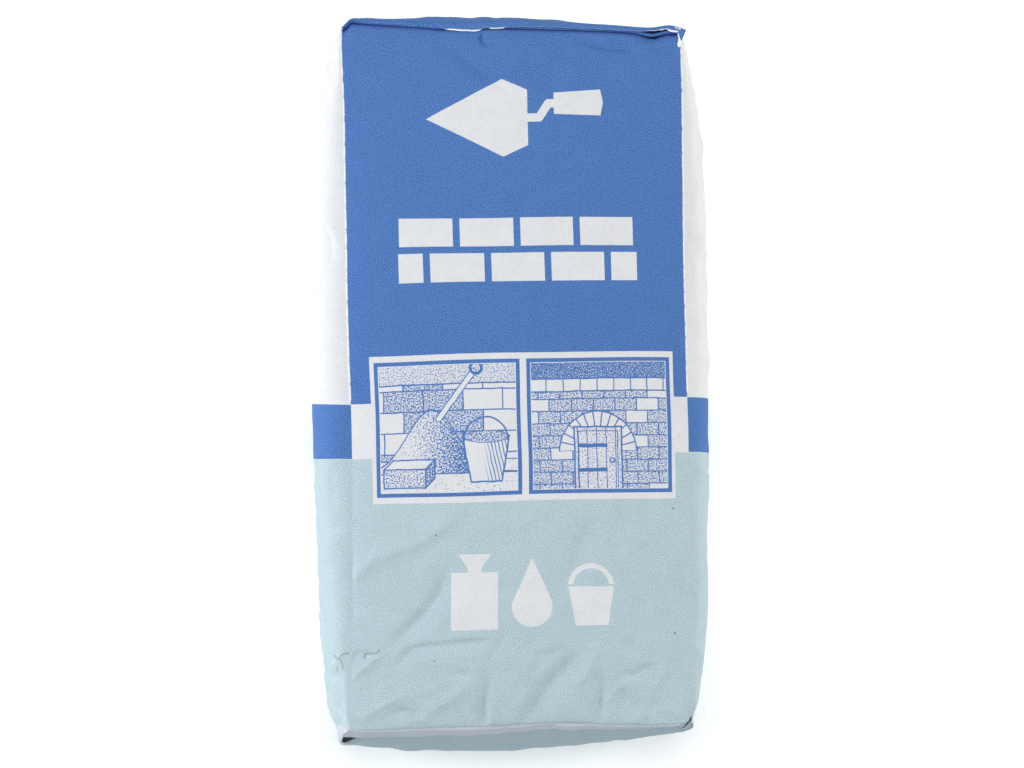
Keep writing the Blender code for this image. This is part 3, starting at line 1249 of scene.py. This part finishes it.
def left_picture(spot):
    """A heap of sand with a shovel, a bucket and blocks, in front of a block wall."""
    dots = stippled(spot, 0.62, 0.5)
    x, y = spot.split()
    lines, chance = brick_wall(spot.minus((-2.0, -1.5)), 17.0, 9.0, 0.55, 3.0)
    rough = inked(chance * -1.0 + 0.42, 0.02)
    ink = lines.at_least(rough * dots)
    sky = inked(y * -1.0 + 19.0)
    ink = over(ink, sky, stippled(spot, 0.55, 0.35))
    ink = ink.at_least(line(y - 19.0, 0.6))
    ground = inked(y + 13.5)
    ink = over(ink, ground, stippled(spot, 0.9, 0.12)).at_least(line(y + 13.5, 0.5))
    mound = (x + 7.0) / 15.0
    top = (mound * mound * -1.0).math("EXPONENT") * 27.0 - 19.0
    heap = (y - top) * 0.72
    shade = ((x + 7.0) / 34.0 + 0.42).clamped()
    grains = ((spot.noise(0.72, 1.0, 0.6) - (shade * -0.30 + 0.66)) * 14.0 + 0.5).clamped()
    heap_shape = heap.at_least(y * -1.0 - 19.0)
    ink = over(ink, inked(heap_shape), grains).at_least(line(heap_shape, 0.6))
    shaft = spot.from_line((-4.0, 4.0), (11.0, 24.0))
    ink = over(ink, inked(shaft - 1.2), inked(shaft - 1.2) * 0.0).at_least(line(shaft - 1.2, 0.45))
    grip = abs(spot.from_circle((12.3, 25.4), 2.4))
    ink = ink.at_least(inked(grip - 0.6))
    bucket = spot.from_corners((9.5, -23.0), (22.5, -23.0), (26.0, -4.0), (6.0, -4.0))
    hatch = line(spot.dot((0.98, 0.2)).off_grid(1.5), 0.45) * inked(x * -1.0 + 16.5, 3.0)
    ink = over(ink, inked(bucket), hatch).at_least(line(bucket, 0.7))
    mouth = spot.minus((16.0, -4.0)).stretched(1.0, 4.0).length() - 10.0
    ink = over(ink, inked(mouth), dots).at_least(inked(abs(mouth) - 0.45, 0.35))
    handle = abs(spot.from_circle((16.0, -5.0), 9.4)).at_least(y * -1.0 - 5.5)
    ink = ink.at_least(inked(handle - 0.35))
    block = spot.from_corners((-28.0, -25.0), (-10.0, -25.0), (-10.0, -17.0), (-28.0, -17.0))
    ink = over(ink, inked(block), stippled(spot, 0.7, 0.4)).at_least(line(block, 0.6))
    lid = spot.from_corners((-28.0, -17.0), (-10.0, -17.0), (-6.0, -13.0), (-24.0, -13.0))
    ink = over(ink, inked(lid), inked(lid) * 0.0).at_least(line(lid, 0.6))
    end = spot.from_corners((-10.0, -25.0), (-6.0, -21.0), (-6.0, -13.0), (-10.0, -17.0))
    return over(ink, inked(end), stippled(spot, 0.6, 0.62)).at_least(line(end, 0.6))


def right_picture(spot):
    """A brick wall with an arched doorway under a coping."""
    x, y = spot.split()
    lines, chance = brick_wall(spot.minus((2.0, 1.0)), 9.6, 5.2, 0.5, 8.0)
    rough = inked(chance * -1.0 + 0.14, 0.02)
    ink = lines.at_least(rough * stippled(spot, 0.6, 0.45))
    coping = inked(y * -1.0 + 14.6)
    stones = line((x + 1.0).off_grid(7.4), 0.5)
    ink = over(ink, coping, stones).at_least(line(y - 14.6, 0.6))
    lip = inked(y * -1.0 + 20.0)
    ink = over(ink, lip, stippled(spot, 0.5, 0.72)).at_least(line(y - 20.0, 0.6))
    inner, outer = 10.5, 17.0
    away = spot.minus((-1.0, -11.0))
    dx, dy = away.split()
    radius = away.length()
    turn = dy.math("ARCTAN2", dx)
    wedge = turn.off_grid(math.pi / 13.0) * radius
    above = inked(dy * -1.0, 0.05)
    ring = inked(radius - outer) * above
    ink = over(ink, ring, inked(wedge - 0.28))
    ink = ink.at_least(line(radius - outer, 0.6) * above)
    round_top = radius.at_least(dy * -1.0) - inner
    shaft = abs(dx).at_least(dy) - inner
    doorway = round_top.at_most(shaft)
    boards = line((dx + 0.6).off_grid(4.2), 0.4).at_least(stippled(spot, 0.6, 0.28))
    ink = over(ink, inked(doorway), boards).at_least(line(doorway, 0.7))
    inside = inner - 1.8
    reveal = (radius.at_least(dy * -1.0) - inside).at_most(abs(dx).at_least(dy) - inside)
    ink = ink.at_least(line(reveal, 0.4))
    bands = (abs(dy + 8.0) - 0.8).at_most(abs(dy - 2.5) - 0.8).at_least(dx - 4.0)
    ink = ink.at_least(inked(bands.at_least(reveal)))
    ring_pull = abs(spot.from_circle((5.2, -15.0), 1.0)) - 0.3
    return ink.at_least(inked(ring_pull))


def pictures_print(spot):
    """The framed pair of pictures, with the fields around their frame."""
    left, right, low, high = PICTURES
    block = inked(spot.wobbled(2.0, 0.06).from_box(left, right, low, high))
    drawn = spot.wobbled(5.0, 0.32)
    ink = None
    for edges, picture in (((-62.9, -0.5), left_picture), ((2.4, 65.6), right_picture)):
        frame_out = spot.from_box(edges[0], edges[1], -50.6, 7.4)
        border = inked(frame_out) * inked((frame_out + 1.7) * -1.0)
        centre = ((edges[0] + edges[1]) / 2.0, -21.6)
        inside = inked(frame_out + 2.0)
        art = picture(drawn.minus(centre)) * inside
        ink = border.at_least(art) if ink is None else ink.at_least(border, art)
    page = mix(spot.tree, ink, WHITE, BLUE)
    return mix(spot.tree, block, plain_print(spot), page)


def raw_print(spot):
    """Paper without ink."""
    return mix(spot.tree, spot.noise(3.0), RAW_WHITE, RAW_WHITE)


def grey_print(spot):
    """The bottom strip in a grey darker than the raw paper, with a painted highlight along its fold and a fleck of blue
    ink.
    """
    _, along = spot.split()
    # A pale line just below the fold: painted highlight
    colour = mix(spot.tree, line(along + HALF_LENGTH + 0.9, 0.5) * 0.5, GREY_PAPER, RAW_WHITE)
    fleck = spot.from_strokes((59.5, -154.6), (63.0, -154.2), (66.5, -152.8)) - 0.45
    return mix(spot.tree, inked(fleck, 0.4) * 0.8, colour, BLUE)


def shaded_tuck_print(spot):
    # The left tuck's unprinted paper, coloured darker than the raw paper: painted shade
    return mix(spot.tree, spot.noise(2.0), TUCK_PAINTED_SHADE_GREY, GREY_PAPER)


def liner_print(spot):
    # The inner ply's white, brighter than the raw paper: painted light on its fringe
    return mix(spot.tree, spot.noise(3.0), LINER_PAINTED_LIGHT_WHITE, LINER_PAINTED_LIGHT_WHITE)


def bruise(spot):
    """1 in the fine sharp creases at the lower left fold and the top edge, and 0 away from them."""
    cracks = (
        ((-83.0, -118.0), (-81.5, -119.6), (-79.5, -119.8), (-78.3, -121.6), (-77.6, -124.0)),
        ((-79.5, -119.8), (-77.8, -118.2), (-75.0, -117.9)),
        ((-81.5, -123.4), (-82.6, -125.0)),
        ((-68.0, -119.8), (-67.6, -118.4), (-62.4, -117.8), (-61.5, -116.6)),
        ((-13.0, 149.4), (-13.8, 147.6), (-12.6, 145.8)),
    )
    depth = None
    for points in cracks:
        crack = (spot.from_strokes(*points) * -1.4 + 1.0).clamped()
        depth = crack if depth is None else depth.at_least(crack)
    return depth


def uv_spot(tree, layer):
    node = tree.nodes.new("ShaderNodeUVMap")
    node.uv_map = layer
    return Spot(tree, node.outputs[0])


def fold_wear_highlight_and_shade(folds, spot, colour):
    """The colour with white side folds in the upper half, partly worn ink and partly a painted highlight, and painted
    shade beside the top fold.
    """
    tree = spot.tree
    from_side, from_end = folds.split()
    _, along = spot.split()
    # White side folds in the upper half: partly worn ink, partly a painted highlight along the fold
    rubbed_and_highlit = inked(from_side - 0.35, 0.4) * inked(along * -1.0 - 8.0, 2.0)
    patchy = (spot.noise(3.5, 2.0, 0.6) * 5.0 - 1.6).clamped()
    colour = mix(tree, rubbed_and_highlit * patchy, colour, WORN_AND_HIGHLIGHT_WHITE)
    at_top = inked(along * -1.0 + 100.0)
    # Painted shade beside the top fold: none on the stretch that the flap covers, then a painted shadow line at the
    # flap's edge, then a purple painted shade that fades below it
    past_edge = from_end - 1.45
    near = (past_edge * -0.40 + 1.0).clamped() * inked(past_edge * -1.0, 0.4) * at_top
    shade = mix(tree, near * 0.6, (1.0, 1.0, 1.0, 1.0), (0.70, 0.40, 0.66, 1.0))
    painted_shadow_line = (abs(past_edge) * -2.2 + 1.5).clamped() * at_top
    line_shade = mix(tree, painted_shadow_line * 0.95, shade, (0.26, 0.17, 0.38, 1.0))
    node = tree.nodes.new("ShaderNodeMix")
    node.data_type = "RGBA"
    node.blend_type = "MULTIPLY"
    node.inputs[0].default_value = 1.0
    tree.links.new(colour, node.inputs[6])
    tree.links.new(line_shade, node.inputs[7])
    return node.outputs[2]


def paper_material(name, print_colour):
    """Matt paper: the print's colour, with mottled ink, fibres, small dents and a few specks, painted shade in sharp
    creases and beside the top fold, and a painted highlight on the side folds.
    """
    material = bpy.data.materials.new(name)
    material.use_nodes = True
    tree = material.node_tree
    shader = tree.nodes["Principled BSDF"]
    spot = uv_spot(tree, "paper")
    colour = fold_wear_highlight_and_shade(uv_spot(tree, "folds"), spot, print_colour(spot))
    red = tree.nodes.new("ShaderNodeSeparateColor")
    tree.links.new(colour, red.inputs[0])
    # White paper shows less grain than inked paper
    whiteness = (Number(tree, red.outputs[0]) - 0.47).at_least(0.0)
    grain = (spot.noise(0.42, 1.0, 0.6) - 0.5) * (whiteness * -3.6 + 1.9)
    broad = spot.noise(9.0, 3.0, 0.6) - 0.5
    mottle = spot.noise(2.6, 3.0, 0.7) - 0.5
    cracks = bruise(spot)
    # Sharp creases darken the colour by up to a third: painted shade
    tone = (grain * 0.55 + broad * 0.12 + mottle * 0.14 + 1.0) * (cracks * -0.32 + 1.0)
    toned = tree.nodes.new("ShaderNodeVectorMath")
    toned.operation = "SCALE"
    tree.links.new(colour, toned.inputs[0])
    tree.links.new(tone.socket, toned.inputs["Scale"])
    fibres = tree.nodes.new("ShaderNodeVectorMath")
    fibres.operation = "SCALE"
    fibres.inputs[0].default_value = (1.0, 1.0, 1.0)
    tree.links.new((grain * 0.12).socket, fibres.inputs["Scale"])
    total = tree.nodes.new("ShaderNodeVectorMath")
    total.operation = "ADD"
    tree.links.new(toned.outputs[0], total.inputs[0])
    tree.links.new(fibres.outputs[0], total.inputs[1])
    tree.links.new(total.outputs[0], shader.inputs["Base Color"])
    shader.inputs["Roughness"].default_value = 0.72
    shader.inputs["Specular IOR Level"].default_value = 0.06
    bump = tree.nodes.new("ShaderNodeBump")
    bump.inputs["Strength"].default_value = 0.5
    bump.inputs["Distance"].default_value = 0.00012
    height = spot.noise(0.8, 3.0, 0.65) + spot.noise(4.5, 2.0, 0.5) * 1.6 - cracks * 4.0
    tree.links.new(height.socket, bump.inputs["Height"])
    tree.links.new(bump.outputs[0], shader.inputs["Normal"])
    return material


def build_camera():
    """A long lens almost straight above the sack, turned as the photograph is."""
    distance = 1.6
    lean_left, lean_down, roll = math.radians(3.0), math.radians(2.5), math.radians(-1.14)
    aim = Vector((-0.0022, -0.0013, 0.060))
    back = Vector((-math.tan(lean_left), -math.tan(lean_down), 1.0)).normalized()
    right = Vector((0.0, 1.0, 0.0)).cross(back).normalized()
    up = back.cross(right)
    turned = right * math.cos(roll) + up * math.sin(roll)
    upright = up * math.cos(roll) - right * math.sin(roll)
    data = bpy.data.cameras.new("camera")
    data.sensor_width = 36.0
    data.lens = 3648.0 / 1024.0 * 36.0
    data.clip_end = 20.0
    camera = bpy.data.objects.new("camera", data)
    bpy.context.scene.collection.objects.link(camera)
    axes = Matrix((turned, upright, back)).transposed()
    camera.matrix_world = Matrix.Translation(aim + back * distance) @ axes.to_4x4()
    bpy.context.scene.camera = camera


def add_light(name, place, target, size, power, colour):
    data = bpy.data.lights.new(name, "AREA")
    data.shape = "DISK"
    data.size = size
    data.energy = power
    data.color = colour
    light = bpy.data.objects.new(name, data)
    light.location = place
    light.rotation_euler = (Vector(target) - Vector(place)).to_track_quat("-Z", "Y").to_euler()
    bpy.context.scene.collection.objects.link(light)


def build_stage():
    mesh = bpy.data.meshes.new("floor")
    half = 4.0
    corners = [(-half, -half, 0.0), (half, -half, 0.0), (half, half, 0.0), (-half, half, 0.0)]
    mesh.from_pydata(corners, [], [(0, 1, 2, 3)])
    material = bpy.data.materials.new("floor")
    material.use_nodes = True
    shader = material.node_tree.nodes["Principled BSDF"]
    shader.inputs["Base Color"].default_value = (0.95, 0.95, 0.95, 1.0)
    shader.inputs["Roughness"].default_value = 0.9
    shader.inputs["Emission Color"].default_value = (0.94, 0.97, 1.0, 1.0)
    shader.inputs["Emission Strength"].default_value = 0.26
    floor = add_piece("floor", mesh, [material])
    floor.location.z = -0.0002
    world = bpy.data.worlds.new("studio")
    world.use_nodes = True
    background = world.node_tree.nodes["Background"]
    background.inputs["Color"].default_value = (0.80, 0.93, 1.0, 1.0)
    background.inputs["Strength"].default_value = 0.26
    bpy.context.scene.world = world
    middle = (0.0, 0.0, 0.04)
    add_light("left_light", (-1.55, 0.10, 0.62), middle, 1.0, 18.3, (1.0, 0.985, 0.96))
    add_light("right_light", (1.55, 0.10, 0.62), middle, 1.0, 13.4, (1.0, 0.94, 0.82))
    add_light("top_light", (0.0, 0.25, 1.9), middle, 1.0, 15.4, (0.98, 0.98, 1.0))
    bpy.context.scene.view_settings.view_transform = "Standard"


build_camera()
printed = paper_material("printed_paper", plain_print)
signs = paper_material("printed_signs", signs_print)
pictures = paper_material("printed_pictures", pictures_print)
raw = paper_material("raw_paper", raw_print)
grey = paper_material("grey_paper", grey_print)
tuck_paper_painted_shade = paper_material("tuck_paper_painted_shade", shaded_tuck_print)
liner = paper_material("liner_paper", liner_print)

skin_mesh, skin_tree = build_skin()
skin = sack_piece("sack_skin", skin_mesh, [printed, signs, pictures])
top_sheet("top_closing_flap", skin_tree, [printed, raw], -68.5, 74.0, 0.9, 0.3, outer_overhang, outer_gap)
top_sheet("top_inner_ply", skin_tree, [liner, liner], -66.0, 73.4, 0.5, 0.25, inner_overhang, inner_gap)
bottom_flap(skin_tree, [printed, raw])
bottom_strip(skin_tree, [grey, raw])
corner_tuck("bottom_left_tuck", skin_tree, [tuck_paper_painted_shade, raw], -1.0)
corner_tuck("bottom_right_tuck", skin_tree, [printed, raw], 1.0)
top_corner_ear([printed, raw])
top_corner_liner([liner, liner])
build_stage()
